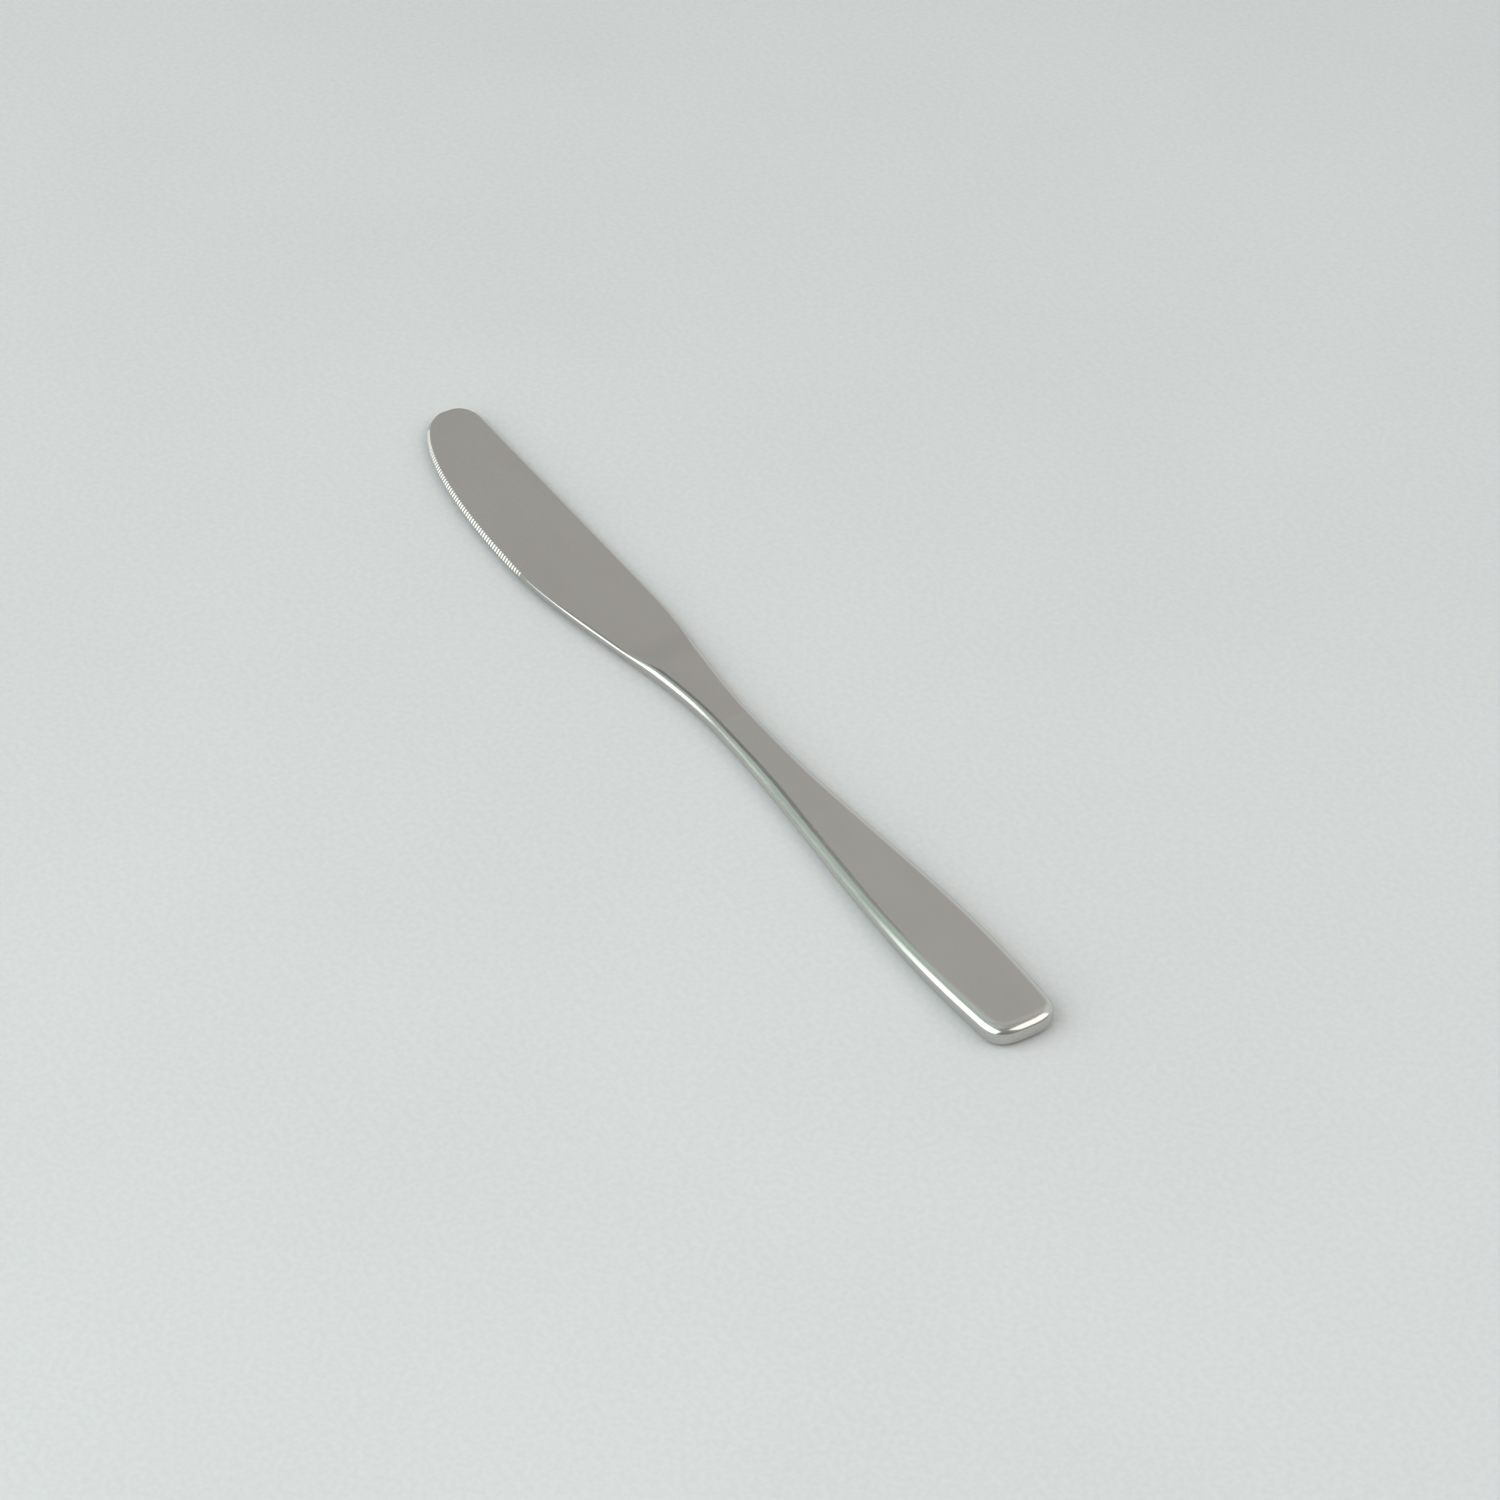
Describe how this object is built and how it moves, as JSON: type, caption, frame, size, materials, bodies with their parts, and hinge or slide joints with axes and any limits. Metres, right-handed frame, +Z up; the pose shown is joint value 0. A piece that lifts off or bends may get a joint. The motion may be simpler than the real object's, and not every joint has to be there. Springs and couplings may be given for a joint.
{
  "type": "dessert knife",
  "caption": "Flat solid stainless-steel dessert knife: rounded blade with a part-serrated edge, stub-tang joint at a slim neck, and a handle that widens and thickens to a rounded butt.",
  "frame": {"origin": "on the table under the middle of the knife as it lies on the flat underside of its handle", "axes": "+X from the butt to the tip, +Y to the cutting edge's side, +Z up from the table"},
  "size_m": [0.21, 0.0196, 0.0042],
  "materials": {
    "blade_steel": "fine satin, ground and polished",
    "handle_steel": "fine satin, polished edges"
  },
  "bodies": {
    "root": {"blade": "blade_steel", "handle": "handle_steel"}
  },
  "joints": []
}
